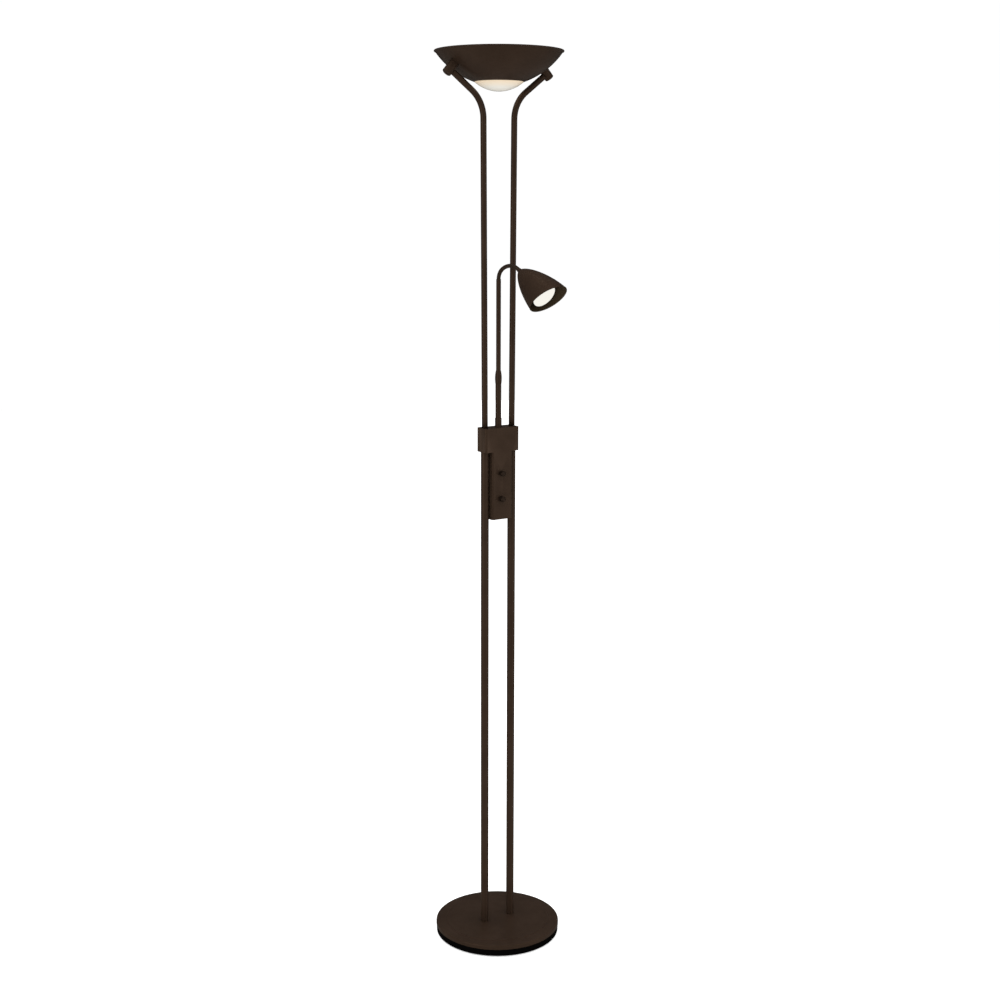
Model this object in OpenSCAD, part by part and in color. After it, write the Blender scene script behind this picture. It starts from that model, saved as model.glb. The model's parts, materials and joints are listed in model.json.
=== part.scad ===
// Torchiere floor lamp with a reading spot, in millimetres.
// The origin is the centre of the foot, on the floor. +Z is up, the two poles stand along X and the
// knobs face -Y.

/* [Overall] */
// Height of the bowl's rim above the floor
total_h = 1800; // [1750:5:1900]

/* [Foot] */
// Diameter of the foot's cover
foot_d = 258; // [240:1:290]
// Height of the foot
foot_h = 27; // [26:0.5:28]
// Height of the cover's lower edge above the floor
lip_z = 16; // [16:0.5:17]
// Diameter of the tray at its top edge
tray_d = 257; // [250:1:257]
// Diameter of the raised field on top of the cover
field_d = 214; // [200:1:220]
// Height of the step round the raised field
field_step = 0.8; // [0.5:0.1:1]
// How far the cover falls from the step to its rounded edge
edge_fall = 1.2; // [1:0.1:2]
// Radius of the cover's edge
edge_round = 3; // [2:0.5:4]
// Thickness of the felt pads
pad_t = 2; // [1.5:0.5:2]

/* [Poles] */
// Distance between the centre lines of the poles
pole_pitch = 63.6; // [63.6:0.1:64]
// Outside diameter of the lower poles
lower_pole_d = 16; // [15.4:0.1:16]
// Outside diameter of the upper poles
upper_pole_d = 12; // [11.6:0.1:12.4]
// Wall of the pole tubes
tube_wall = 1.2; // [1:0.1:1.3]
// Outward lean of the upper poles, in degrees
pole_lean = 0.34; // [0.2:0.02:0.6]

/* [Control housing] */
// Height of the housing's top above the floor
housing_top = 1076; // [1000:1:1100]
// Width of the upper block
block_w = 79.6; // [78.8:0.1:82]
// Height of the upper block
block_h = 48; // [44:1:56]
// Width of the lower box, which fits between the poles
box_w = 47.4; // [44:0.2:47.6]
// Height of the lower box
box_h = 137; // [130:1:150]
// How far the housing's front stands before the poles' centre plane
housing_front = 16; // [16:0.5:20]
// How far the housing's back stands behind the poles' centre plane
housing_back = 18; // [17:0.5:22]
// Wall of the housing covers
cover_wall = 1.3; // [1.2:0.1:1.4]

/* [Knobs] */
// Diameter of a knob
knob_d = 11; // [10:0.5:14]
// Length of a knob
knob_len = 10.5; // [9:0.5:14]
// Distance of the knobs' line from the housing's middle, to the left
knob_left = 4; // [0:0.5:5]
// Height of the upper knob above the floor
knob_upper_z = 985; // [980:1:990]
// Distance between the two knobs
knob_pitch = 52; // [50:1:54]

/* [Reading arm] */
// Diameter of the fixed post
post_d = 11.6; // [11:0.1:12]
// Height of the post's shoulder above the floor
post_top = 1162; // [1150:1:1180]
// Largest diameter of the swivel coupling
coupling_d = 13.4; // [13.2:0.1:15]
// Height of the swivel coupling
coupling_h = 27; // [25:1:30]
// Diameter of the turning arm tube
arm_d = 9.4; // [9:0.1:9.4]
// Height at which the flexible hose starts
hose_z = 1368; // [1350:1:1372]
// Diameter of the flexible hose
hose_d = 8; // [7:0.2:8.4]
// Radius of the hose's first bend at rest, above the arm
hose_low_r = 24; // [22:1:28]
// Radius of the hose's second bend at rest, over to the shade
hose_bend_r = 39; // [34:1:42]
// Dip of the spot shade below the horizontal at rest, in degrees
spot_dip = 34.5; // [20:0.5:50]
// Turn of the arm from straight front towards the right at rest, in degrees
arm_turn = 12; // [0:1:40]

/* [Spot shade] */
// Length of the shade along its axis
shade_len = 104; // [100:1:112]
// Diameter of the shade's mouth
mouth_d = 80; // [78:1:90]
// How much shorter the shade is on its lower side
mouth_slant = 23; // [0:1:24]
// Wall of the shade
shade_wall = 1.2; // [1:0.1:1.5]

/* [Bowl] */
// Radius of the sphere that the bowl is part of
bowl_r = 150; // [148:1:156]
// Depth of the rim's plane below the sphere's centre
rim_drop = 84; // [80:1:90]
// Diameter of the hole in the bottom
hole_d = 96; // [90:1:98]
// Wall of the bowl
bowl_wall = 1.2; // [1:0.1:1.4]
// Angle of the collars from straight down, seen from the sphere's centre
collar_angle = 42; // [40:0.5:44]
// Diameter of a collar
collar_d = 18; // [16:0.5:20]
// Length of a collar
collar_len = 25.5; // [22:0.5:28]
// Slope of the straight arms above the horizontal, in degrees
arm_slope = 37; // [34:1:40]
// Bend radius of the arms
arm_bend_r = 65; // [55:1:70]

/* [Glass dish] */
// Radius of the dish's sphere
dish_r = 72; // [70:1:76]
// How far the dish's lowest point lies below the sphere centre of the bowl
dish_drop = 160; // [158:0.5:160]
// Thickness of the glass
glass_t = 3; // [2.5:0.5:3]

/* [Hidden] */
$fn = 96;

// Small clearances: parts that fit, parts that turn, faces that pass each other
fit = 0.05;
turn_fit = 0.06;
air = 0.3;

brown = [0.22, 0.17, 0.14];
dark = [0.08, 0.07, 0.07];
steel = [0.7, 0.7, 0.72];
brass = [0.75, 0.6, 0.3];
glass = [0.97, 0.94, 0.86];
ceramic = [0.9, 0.88, 0.83];

pole_x = pole_pitch / 2;
lower_r = lower_pole_d / 2;
upper_r = upper_pole_d / 2;
spigot_r = upper_r - 0.6;
spigot_len = 30;

// ---- shared shapes ----

// A tube along Z from z0 to z1
module tube(outer_r, inner_r, z0, z1) {
    difference() {
        translate([0, 0, z0]) cylinder(r = outer_r, h = z1 - z0);
        translate([0, 0, z0 - 1]) cylinder(r = inner_r, h = z1 - z0 + 2);
    }
}

// A rod along Z from z0 to z1
module rod(r, z0, z1) {
    translate([0, 0, z0]) cylinder(r = r, h = z1 - z0);
}

// Its children at the left and the right pole
module at_poles() {
    for (side = [-1, 1]) translate([side * pole_x, 0, 0]) children();
}

// A rod along Y from y0 to y1
module rod_y(r, y0, y1) {
    translate([0, y0, 0]) rotate([-90, 0, 0]) cylinder(r = r, h = y1 - y0);
}

// ---- foot ----

foot_r = foot_d / 2;
tray_r = tray_d / 2;
tray_foot_r = tray_r - 0.5;
field_r = field_d / 2;
cover_t = 1.2;
stud_r = 4;
nut_pocket_r = 10;
nut_pocket_z = 12;
weight_z0 = pad_t + 2;
weight_top = foot_h - cover_t;
pad_ring_r = 100;
pad_count = 6;
gland_z = lip_z - 6.4;

// Half section of the cover, smaller by inset all round: a raised field, a step down, a gentle fall
// and a round edge into the upright side
edge_top = foot_h - field_step - edge_fall;

module cover_outline(inset, bottom) {
    polygon(concat(
        [[0, bottom], [0, foot_h - inset], [field_r, foot_h - inset]],
        [[field_r + 0.6, foot_h - inset - field_step]],
        [for (a = [90:-10:0]) [foot_r - edge_round, edge_top - edge_round]
            + (edge_round - inset) * [cos(a), sin(a)]],
        [[foot_r - inset, bottom]]
    ));
}

module base_cover() {
    color(brown) difference() {
        rotate_extrude() difference() {
            cover_outline(0, lip_z);
            cover_outline(cover_t, lip_z - 1);
        }
        at_poles() rod(stud_r + air, lip_z, foot_h + 1);
    }
}

module base_weight() {
    color(dark) difference() {
        union() {
            rod(field_r - 2, weight_z0, weight_top);
            rod(tray_foot_r - 2.6, weight_z0, lip_z - 1.5);
        }
        at_poles() rod(stud_r + air, 0, foot_h);
        at_poles() rod(nut_pocket_r, 0, nut_pocket_z);
        screw_places() rod(1.55, 0, 12);
        translate([0, tray_r - 14, gland_z]) rod_y(6.5, -10, 20);
    }
}

module base_tray() {
    color(dark) difference() {
        rotate_extrude() polygon([
            [0, pad_t], [tray_foot_r, pad_t], [tray_r, lip_z - 0.4],
            [tray_r - 2, lip_z - 0.4], [tray_foot_r - 2.1, weight_z0], [0, weight_z0]
        ]);
        at_poles() rod(nut_pocket_r, 0, foot_h);
        screw_places() rod(1.7, 0, 10);
        translate([0, tray_r, gland_z]) rod_y(4.1, -12, 12);
    }
}

module screw_places() {
    for (a = [30, 150, 270]) rotate(a) translate([70, 0, 0]) children();
}

module tray_screws() {
    color(steel) screw_places() {
        rod(3, pad_t - 1.6, pad_t);
        rod(1.5, pad_t - 0.1, 11);
    }
}

// Felt pads: a ring of them near the edge, and a larger one in the middle
module base_pads() {
    color(dark) for (i = [0:pad_count - 1]) rotate(i * 360 / pad_count + 15)
        translate([pad_ring_r, 0, 0]) cylinder(r = 9, h = pad_t);
    color(dark) cylinder(r = 15, h = pad_t);
}

// Bushing of the mains lead, at the back of the tray, with its nut inside the tray
module cord_gland() {
    color(dark) translate([0, tray_r, gland_z]) difference() {
        union() {
            rod_y(6, 0.1, 2.4);
            rod_y(3.95, -9, 1);
        }
        rod_y(3.2, -10, 5);
    }
}

module gland_nut() {
    color(dark) translate([0, tray_r, gland_z]) difference() {
        rod_y(5.3, -5.6, -3);
        rod_y(4, -8, 0);
    }
}

module pole_studs() {
    color(steel) at_poles() rod(stud_r - fit, 4.5, foot_h + 22);
}

module pole_washers() {
    color(steel) at_poles() tube(9, stud_r + 0.2, nut_pocket_z - 1.6, nut_pocket_z);
}

module pole_nuts() {
    color(steel) at_poles() difference() {
        translate([0, 0, nut_pocket_z - 7]) cylinder(r = 7.5, h = 5.4, $fn = 6);
        rod(stud_r, 0, nut_pocket_z);
    }
}

// ---- poles ----

lower_top = housing_top - block_h;
plug_len = 24;

module lower_pole() {
    color(brown) {
        tube(lower_r, lower_r - tube_wall, foot_h, lower_top);
        tube(lower_r - tube_wall / 2, stud_r, foot_h, foot_h + plug_len);
    }
}

module lower_pole_left() translate([-pole_x, 0, 0]) lower_pole();
module lower_pole_right() translate([pole_x, 0, 0]) lower_pole();

// Sleeves between the upper poles' spigots and the lower poles
module pole_bushes() {
    color(brass) at_poles()
        tube(lower_r - tube_wall - fit, spigot_r + fit, lower_top - spigot_len + 2, lower_top - 0.5);
}

// Centre lines of a pole and its arm, in the XZ plane: both run straight to the point corner,
// where the bend rounds them off
bowl_z = total_h + rim_drop;
collar_start = bowl_r + 0.15;
arm_hit = bowl_r + 15;
arm_end = [arm_hit * sin(collar_angle), bowl_z - arm_hit * cos(collar_angle)];
lean_k = tan(pole_lean);
arm_run = (arm_end[0] - pole_x - (arm_end[1] - housing_top) * lean_k)
    / (cos(arm_slope) - sin(arm_slope) * lean_k);
corner = arm_end - arm_run * [cos(arm_slope), sin(arm_slope)];
bend_turn = 90 - arm_slope - pole_lean;
tangent_len = arm_bend_r * tan(bend_turn / 2);
lean_len = (corner[1] - housing_top) / cos(pole_lean) - tangent_len;

// The run of a pole and its arm: two straight lengths and the bend between them. They overlap by
// a millimetre, so step makes the bend a hair thicker than the straight lengths, or thinner.
bend_step = 0.1;

module pole_run(r, step, z0) {
    over = 1;
    translate([pole_x, 0, housing_top]) rotate([0, pole_lean, 0]) {
        rod(r, z0, lean_len + over);
        translate([arm_bend_r, 0, lean_len]) rotate([90, 0, 0])
            rotate([0, 0, 180 - bend_turn]) rotate_extrude(angle = bend_turn)
                translate([arm_bend_r, 0]) circle(r + step);
    }
    translate([corner[0], 0, corner[1]]) rotate([0, 90 - arm_slope, 0])
        rod(r, tangent_len - over, arm_run + 6);
}

module upper_pole_right() {
    bore = upper_r - tube_wall;
    color(brown) difference() {
        union() {
            translate([pole_x, 0, 0]) rod(spigot_r, lower_top - spigot_len, housing_top + 8);
            pole_run(upper_r, bend_step, 0.06);
        }
        pole_run(bore, -bend_step, 10);
        translate([pole_x, 0, 0]) rod(bore - 0.4, lower_top - spigot_len - 1, housing_top + 12);
        on_collar_axis() rod(collar_d / 2 + fit, bowl_r - 5, bowl_r + 60);
    }
}

module upper_pole_left() mirror([1, 0, 0]) upper_pole_right();

// ---- control housing ----

block_r = 4.5;
box_r = 3;
box_z0 = lower_top - box_h;
knob_lower_z = knob_upper_z - knob_pitch;
front_in = -housing_front + cover_wall;
boss_r = 3.5;
block_boss = [18, housing_top - 24];
box_boss = [16.5, box_z0 + 8];
plate_y = -9;
plate_t = 1.5;
plate_w = 42;
plate_z = [box_z0 + 17, lower_top - 6];
plate_edge = 3.4;
shaft_r = 3;

// Rectangle of width w from y0 to y1 with round corners
module round_rect(w, y0, y1, r) {
    translate([-w / 2 + r, y0]) square([w - 2 * r, y1 - y0]);
    translate([-w / 2, y0 + r]) square([w, y1 - y0 - 2 * r]);
    for (x = [-w / 2 + r, w / 2 - r], y = [y0 + r, y1 - r]) translate([x, y]) circle(r);
}

// The T-shaped body of the housing, smaller by inset all round
module housing_body(inset) {
    translate([0, 0, lower_top + inset]) linear_extrude(block_h - 2 * inset)
        round_rect(block_w - 2 * inset, -housing_front + inset, housing_back - inset, block_r - inset);
    translate([0, 0, box_z0 + inset]) linear_extrude(box_h + 4)
        round_rect(box_w - 2 * inset, -housing_front + inset, housing_back - inset, box_r - inset);
}

module boss_places() {
    for (side = [-1, 1], p = [block_boss, box_boss]) translate([side * p[0], 0, p[1]]) children();
}

module plate_places() {
    for (side = [-1, 1], z = [plate_z[0] + plate_edge, plate_z[1] - plate_edge])
        translate([side * (plate_w / 2 - 5), 0, z]) children();
}

module at_knobs() {
    for (z = [knob_upper_z, knob_lower_z]) translate([-knob_left, 0, z]) children();
}

// The housing's shell with the openings that both covers share
module housing_shell() {
    difference() {
        housing_body(0);
        housing_body(cover_wall);
        at_poles() rod(spigot_r + 0.2, lower_top - 2, housing_top + 2);
        rod(post_d / 2 - 0.8, housing_top - 4, housing_top + 2);
    }
}

module half_space(y0, y1) {
    translate([-60, y0, box_z0 - 10]) cube([120, y1 - y0, housing_top - box_z0 + 20]);
}

module control_front_cover() {
    color(brown) difference() {
        union() {
            intersection() {
                housing_shell();
                half_space(-40, 0);
            }
            boss_places() rod_y(boss_r, front_in - 0.2, 0);
            plate_places() rod_y(3, front_in - 0.2, plate_y - plate_t);
        }
        boss_places() rod_y(1.5 + fit, front_in + 2, 1);
        plate_places() rod_y(1.5 + fit, front_in + 0.8, plate_y);
        at_knobs() rod_y(shaft_r + air, -housing_front - 1, front_in + 1);
    }
}

module control_rear_cover() {
    color(brown) difference() {
        union() {
            intersection() {
                housing_shell();
                half_space(0, 40);
            }
            boss_places() rod_y(boss_r + 0.6, 0, housing_back - 0.4);
        }
        boss_places() rod_y(1.7, -1, housing_back + 1);
        boss_places() rod_y(3.1, housing_back - 3, housing_back + 1);
    }
}

module cover_screws() {
    color(steel) boss_places() {
        rod_y(2.9, housing_back - 3, housing_back - 1.2);
        rod_y(1.5, -10, housing_back - 2.9);
    }
}

// Sheet that carries the two dimmers, behind the front
module control_plate() {
    color(steel) difference() {
        translate([-plate_w / 2, plate_y - plate_t, plate_z[0]])
            cube([plate_w, plate_t, plate_z[1] - plate_z[0]]);
        at_knobs() rod_y(4.2, plate_y - 5, plate_y + 5);
        plate_places() rod_y(1.7, plate_y - 5, plate_y + 5);
    }
}

module plate_screws() {
    color(steel) plate_places() {
        rod_y(2.8, plate_y, plate_y + 1.6);
        rod_y(1.5, front_in + 1.5, plate_y + 0.1);
    }
}

// Rotary dimmer: a case with a threaded bush towards the front
module dimmer(z) {
    color(dark) translate([-knob_left, 0, z]) difference() {
        union() {
            translate([-15, plate_y, -18]) cube([30, 15, 36]);
            rod_y(4, plate_y - 4.5, plate_y + 0.5);
        }
        rod_y(shaft_r + turn_fit, -20, plate_y + 6);
    }
}

module dimmer_upper() dimmer(knob_upper_z);
module dimmer_lower() dimmer(knob_lower_z);

module dimmer_nuts() {
    color(steel) at_knobs() difference() {
        translate([0, plate_y - plate_t, 0]) rotate([90, 0, 0]) cylinder(r = 6.2, h = 2, $fn = 6);
        rod_y(4 + fit, -20, 0);
    }
}

knob_face = -housing_front - 0.5 - knob_len;

module shaft(z) {
    color(steel) translate([-knob_left, 0, z]) rod_y(shaft_r, knob_face + 3, plate_y + 5.5);
}

module shaft_upper() shaft(knob_upper_z);
module shaft_lower() shaft(knob_lower_z);

// Knob with a bevelled front edge and a pointer groove across the top half of its face
module knob(z) {
    bevel = 0.8;
    color(brown) translate([-knob_left, 0, z]) difference() {
        union() {
            rod_y(knob_d / 2, knob_face + bevel, knob_face + knob_len);
            translate([0, knob_face, 0]) rotate([-90, 0, 0])
                cylinder(r1 = knob_d / 2 - bevel, r2 = knob_d / 2, h = bevel);
        }
        rod_y(shaft_r + 0.03, knob_face + 2.9, 0);
        translate([-0.4, knob_face - 1, 1]) cube([0.8, 1.5, knob_d]);
    }
}

module knob_upper() knob(knob_upper_z);
module knob_lower() knob(knob_lower_z);

module terminal_block() {
    color(ceramic) translate([0, 6, lower_top + 12]) difference() {
        translate([-12, -6, -7]) cube([24, 12, 14]);
        for (x = [-8, 0, 8]) translate([x, 0, 0]) {
            rod(1.4, -10, 10);
            rod_y(1.8, 2, 10);
        }
    }
}

// ---- reading arm ----

post_r = post_d / 2;
arm_r = arm_d / 2;
post_bore = 3.9;
thread_r = post_r - 0.9;
neck_r = 4.85;
post_neck_len = 8;
cavity_z = post_top + post_neck_len + 0.2;
cavity_len = 7.8;
flange_z = cavity_z + 2;
flange_r = 5.45;

module arm_ferrule() {
    color(brown) tube(post_r + 0.9, post_r + fit, housing_top, housing_top + 18);
}

module arm_post() {
    color(brown) {
        tube(post_r, post_bore, housing_top, post_top);
        tube(thread_r, post_bore, housing_top - 11, housing_top + 1);
        tube(neck_r, post_bore, post_top - 1, post_top + post_neck_len);
    }
}

module arm_nut() {
    color(steel) difference() {
        translate([0, 0, housing_top - cover_wall - 5]) cylinder(r = 8, h = 5, $fn = 6);
        rod(thread_r + fit, housing_top - 10, housing_top);
    }
}

// Barrel that is screwed on the post and holds the arm tube's flange, so that the tube can turn
module swivel_coupling() {
    barrel_r = 75;
    mid_z = post_top + 11;
    color(brown) rotate_extrude() difference() {
        intersection() {
            translate([coupling_d / 2 - barrel_r, mid_z]) circle(barrel_r, $fn = 360);
            translate([0, post_top]) square([coupling_d, coupling_h]);
        }
        translate([0, post_top - 1]) square([neck_r + fit, coupling_h + 2]);
        translate([0, cavity_z]) square([flange_r + 0.08, cavity_len]);
    }
    color(brown) tube(neck_r + 0.2, arm_r + turn_fit, cavity_z + cavity_len, post_top + coupling_h);
}

module swivel_washer() {
    color(dark) tube(flange_r - 0.1, post_bore, cavity_z + 0.2, cavity_z + 1.7);
}

module arm_tube() {
    color(brown) {
        tube(arm_r, arm_r - 1.2, flange_z, hose_z - 3);
        tube(flange_r, arm_r - 1.2, flange_z, flange_z + 5);
    }
}

// Its children in the arm's own frame: +X is the way the arm's head points
module arm_frame() {
    rotate([0, 0, arm_turn - 90]) children();
}

module hose_ferrule() {
    color(brown) {
        rod(arm_r - 1.25, hose_z - 14, hose_z - 2.5);
        rod(arm_r, hose_z - 3, hose_z);
    }
}

// The flexible hose stands in as three links with a hinge between each two. The lowest link is the
// first bend, and the other two share the second bend.
hose_turn = 90 + spot_dip;
low_turn = 55;
high_turn = (hose_turn - low_turn) / 2;
link_gap = 1.2;
// Centres of the two bends, as distances along the arm's head and heights
low_centre = [hose_low_r, hose_z];
high_centre = low_centre + (hose_bend_r - hose_low_r) * [cos(low_turn), -sin(low_turn)];

// A stretch of a bend of radius r, from a0 to a1 degrees off the vertical
module hose_link(centre, r, a0, a1) {
    color(dark) arm_frame() translate([centre[0], 0, centre[1]]) rotate([90, 0, 0])
        rotate([0, 0, 180 - a1]) rotate_extrude(angle = a1 - a0)
            translate([r, 0]) circle(hose_d / 2);
}

function gap_turn(r) = link_gap / r * 180 / PI;

module hose_link_lower() {
    hose_link(low_centre, hose_low_r, 0, low_turn - gap_turn(hose_low_r));
}

module hose_link_middle() {
    gap = gap_turn(hose_bend_r);
    hose_link(high_centre, hose_bend_r, low_turn + gap, low_turn + high_turn - gap);
}

module hose_link_upper() {
    hose_link(high_centre, hose_bend_r, low_turn + high_turn + gap_turn(hose_bend_r), hose_turn);
}

// ---- spot shade ----

mouth_r = mouth_d / 2;
socket_len = 2;
neck_at = high_centre + hose_bend_r * [-cos(hose_turn), sin(hose_turn)];
shade_steps = 18;
shade_start = 0.04;
shade_crown = 1.55;
shade_swell = 0.635;
lamp_face = 84;
lamp_r = 25;

// Outer radius of the shade at the fraction u of its length
function shade_radius(u) = mouth_r * pow(1 - pow(1 - u, shade_crown), shade_swell);

// Its children in the shade's own frame: +Z is the way the light goes, +X is the shade's upper side
module spot_frame() {
    arm_frame() translate([neck_at[0], 0, neck_at[1]]) rotate([0, hose_turn, 0])
        rotate([0, 0, 180]) children();
}

module shade_outline(inset, extra) {
    steps = [for (i = [0:shade_steps]) shade_start + (1 - shade_start) * pow(i / shade_steps, 1.5)];
    polygon(concat(
        [[0, socket_len + shade_start * shade_len + inset]],
        [for (u = steps) [shade_radius(u) - inset, socket_len + u * shade_len + inset]],
        [[mouth_r - inset, socket_len + shade_len + extra], [0, socket_len + shade_len + extra]]
    ));
}

module spot_shade() {
    slant = atan(mouth_slant / mouth_d);
    color(brown) spot_frame() difference() {
        rotate_extrude() difference() {
            shade_outline(0, 0);
            shade_outline(shade_wall, 10);
        }
        rod(3.6, 0, socket_len + 10);
        translate([mouth_r, 0, socket_len + shade_len]) rotate([0, -slant, 0])
            translate([-150, -60, 0]) cube([200, 120, 60]);
    }
}

shade_floor = socket_len + shade_start * shade_len;

module shade_socket() {
    color(brown) spot_frame() {
        rod(4.4, 0.05, shade_floor);
        rod(3.5, shade_floor - 1, shade_floor + 7);
    }
}

module shade_nut() {
    color(steel) spot_frame() difference() {
        translate([0, 0, shade_floor + shade_wall + 0.1]) cylinder(r = 5.2, h = 2.6, $fn = 6);
        rod(3.5 + fit, 0, shade_floor + 6);
    }
}

module spot_lampholder() {
    color(ceramic) spot_frame() difference() {
        union() {
            rod(9.5, shade_floor + 8, shade_floor + 24);
            rod(7, shade_floor + 7.1, shade_floor + 9);
        }
        for (x = [-5, 5]) translate([x, 0, 0]) rod(2.6, shade_floor + 15, shade_floor + 25);
    }
}

module spot_lamp() {
    base_z = shade_floor + 24.2;
    color(glass) spot_frame() {
        translate([0, 0, base_z]) cylinder(r1 = 12, r2 = lamp_r, h = lamp_face - 4 - base_z);
        rod(lamp_r, lamp_face - 4, lamp_face);
        for (x = [-5, 5]) translate([x, 0, 0]) rod(2.4, base_z - 7, base_z + 1);
    }
}

// ---- bowl ----

hole_r = hole_d / 2;
rim_r = sqrt(bowl_r * bowl_r - rim_drop * rim_drop);
bowl_in = bowl_r - bowl_wall;
rim_bead = 1.5;
screw_r = 2;

// Its children with +Z along the right collar's axis, measured from the sphere's centre
module on_collar_axis() {
    translate([0, 0, bowl_z]) rotate([0, 180 - collar_angle, 0]) children();
}

// Part of a spherical shell below its centre, between two distances from the axis
module zone(outer, inner, r0, r1) {
    intersection() {
        difference() {
            circle(outer, $fn = 360);
            circle(inner, $fn = 360);
        }
        translate([r0, -outer - 1]) square([r1 - r0, outer - 10]);
    }
}

module bowl() {
    color(brown) difference() {
        translate([0, 0, bowl_z]) rotate_extrude() {
            intersection() {
                zone(bowl_r, bowl_in, hole_r, rim_r + 2);
                translate([0, -bowl_r]) square([bowl_r, bowl_r - rim_drop - rim_bead]);
            }
            translate([rim_r - rim_bead + 0.4, -rim_drop - rim_bead]) circle(rim_bead);
        }
        for (side = [0, 1]) mirror([side, 0, 0]) on_collar_axis() rod(screw_r + 0.2, 140, 160);
    }
}

module collar_right() {
    color(brown) on_collar_axis() difference() {
        rod(collar_d / 2, collar_start, collar_start + collar_len);
        rod(screw_r + fit, collar_start - 1, collar_start + 18.5);
    }
}

module collar_left() mirror([1, 0, 0]) collar_right();

tab_in = bowl_in - 2.5;
tab_t = 1.5;

module bowl_screws() {
    color(steel) for (side = [0, 1]) mirror([side, 0, 0]) on_collar_axis() {
        rod(4, tab_in - 2.4, tab_in - 0.02);
        rod(screw_r, tab_in - 0.5, collar_start + 18);
    }
}

// Frosted dish that hangs through the hole, with a flange that follows the bowl inside
module glass_dish() {
    flange_out = bowl_in - air;
    color(glass) translate([0, 0, bowl_z]) rotate_extrude() {
        zone(flange_out, flange_out - glass_t, hole_r - 2.5, hole_r + 8);
        translate([0, dish_r - dish_drop]) zone(dish_r, dish_r - glass_t, 0, hole_r - 0.7);
    }
}

// Three spring tabs over the flange of the dish
module glass_clips() {
    flange_in = bowl_in - air - glass_t;
    color(steel) for (a = [90, 210, 330]) translate([0, 0, bowl_z]) intersection() {
        rotate_extrude() {
            zone(flange_in - 0.2, flange_in - 1.4, hole_r + 3, hole_r + 13);
            zone(bowl_in - 0.15, flange_in - 1.4, hole_r + 9, hole_r + 13);
        }
        rotate(a) translate([0, -6, -bowl_r]) cube([bowl_r, 12, bowl_r]);
    }
}

// ---- lamp inside the bowl ----

bar_z = bowl_z - 116.2;
bar_half = 91;
bar_half_w = 10;
lamp_half = 57;
holder_len = 18;
lamp_z = bar_z + 15;

module lamp_bracket() {
    color(steel) difference() {
        union() {
            translate([-bar_half, -bar_half_w, bar_z]) cube([2 * bar_half, 2 * bar_half_w, tab_t]);
            for (side = [0, 1]) mirror([side, 0, 0]) on_collar_axis()
                translate([-10, -bar_half_w, tab_in]) cube([21.5, 2 * bar_half_w, tab_t]);
        }
        for (side = [0, 1]) mirror([side, 0, 0]) on_collar_axis() rod(screw_r + 0.2, 120, 160);
        holder_places() rod(1.7, bar_z - 5, bar_z + 5);
    }
}

module holder_places() {
    for (side = [-1, 1]) translate([side * (lamp_half + holder_len / 2 + 1), 0, 0]) children();
}

module lampholder_right() {
    color(ceramic) difference() {
        translate([lamp_half + 1, -8, bar_z + tab_t]) cube([holder_len, 16, 21]);
        translate([lamp_half, 0, lamp_z]) rotate([0, 90, 0]) cylinder(r = 3.7, h = 8);
        holder_places() rod(1.5 + fit, bar_z, bar_z + 9);
    }
}

module lampholder_left() mirror([1, 0, 0]) lampholder_right();

module holder_screws() {
    color(steel) holder_places() {
        rod(2.9, bar_z - 1.6, bar_z);
        rod(1.5, bar_z - 0.1, bar_z + 9);
    }
}

// Linear lamp: a quartz tube with a ceramic cap and a contact at each end
module tube_lamp() {
    color(glass) translate([0, 0, lamp_z]) rotate([0, 90, 0]) {
        rod(5, -lamp_half + 10, lamp_half - 10);
        rod(3.6, -lamp_half - 4, lamp_half + 4);
    }
}

base_cover();
base_weight();
base_tray();
base_pads();
tray_screws();
cord_gland();
gland_nut();
pole_studs();
pole_washers();
pole_nuts();
lower_pole_left();
lower_pole_right();
pole_bushes();
upper_pole_left();
upper_pole_right();
control_front_cover();
control_rear_cover();
cover_screws();
control_plate();
plate_screws();
dimmer_upper();
dimmer_lower();
dimmer_nuts();
shaft_upper();
shaft_lower();
knob_upper();
knob_lower();
terminal_block();
arm_ferrule();
arm_post();
arm_nut();
swivel_coupling();
swivel_washer();
arm_tube();
hose_ferrule();
hose_link_lower();
hose_link_middle();
hose_link_upper();
shade_socket();
shade_nut();
spot_shade();
spot_lampholder();
spot_lamp();
collar_left();
collar_right();
bowl();
bowl_screws();
glass_dish();
glass_clips();
lamp_bracket();
lampholder_left();
lampholder_right();
holder_screws();
tube_lamp();
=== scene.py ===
"""Looks of the torchiere floor lamp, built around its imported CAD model.

Metres, +Z up, with the knobs facing -Y. The outlines of turned pieces are in millimetres, and so are
the named sizes of the lamp, apart from those that are multiplied by MM.
"""

import json
import math

import bpy
from mathutils import Matrix, Vector

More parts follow.
